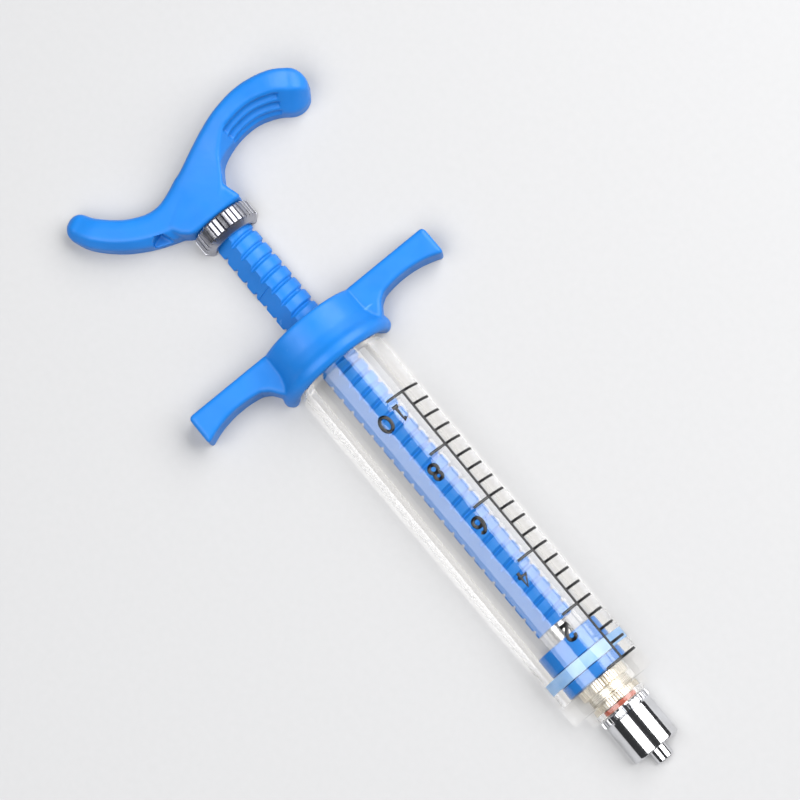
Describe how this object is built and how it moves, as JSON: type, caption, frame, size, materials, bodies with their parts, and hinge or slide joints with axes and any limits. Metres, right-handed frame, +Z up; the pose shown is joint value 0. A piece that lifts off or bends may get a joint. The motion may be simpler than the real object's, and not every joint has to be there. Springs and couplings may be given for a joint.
{
  "type": "oral syringe",
  "caption": "Refillable 10 ml oral dosing syringe: clear barrel, winged screw cap, threaded plunger with dose nut, palm handle and metal locking nozzle.",
  "frame": {"origin": "middle of the bounding box, on the surface that the syringe lies on", "axes": "+X along the syringe to the nozzle, +Y towards the long arm of the handle, +Z up, out of the side with the scale"},
  "size_m": [0.156, 0.0608, 0.027],
  "materials": {
    "clear_plastic": "polished clear moulding",
    "blue_nylon": "moulded satin nylon",
    "chrome_plate": "bright chrome plate",
    "seat_metal": "nickel plated, knurled",
    "steel_rod": "bright drawn steel",
    "silicone": "translucent moulded silicone",
    "washer_fibre": "red fibre",
    "scale_paint": "black paint on moulded marks"
  },
  "bodies": {
    "barrel_body": {"barrel": "clear_plastic", "nozzle_seat": "seat_metal", "nozzle_washer": "washer_fibre", "luer_lock_nozzle": "chrome_plate", "winged_cap": "blue_nylon"},
    "plunger": {"threaded_rod": "blue_nylon", "core_rod": "steel_rod", "piston_rear_disc": "blue_nylon", "piston_seal": "silicone", "piston_front_disc": "blue_nylon", "palm_handle": "blue_nylon"},
    "nut": {"dose_nut": "chrome_plate"}
  },
  "joints": [
    {"name": "plunger_slide", "type": "slide", "parent": "barrel_body", "child": "plunger", "axis": [-1, 0, 0], "range_m": [0, 0.0718]},
    {"name": "nut_travel", "type": "slide", "parent": "plunger", "child": "nut", "axis": [1, 0, 0], "range_m": [0, 0.0225]}
  ]
}
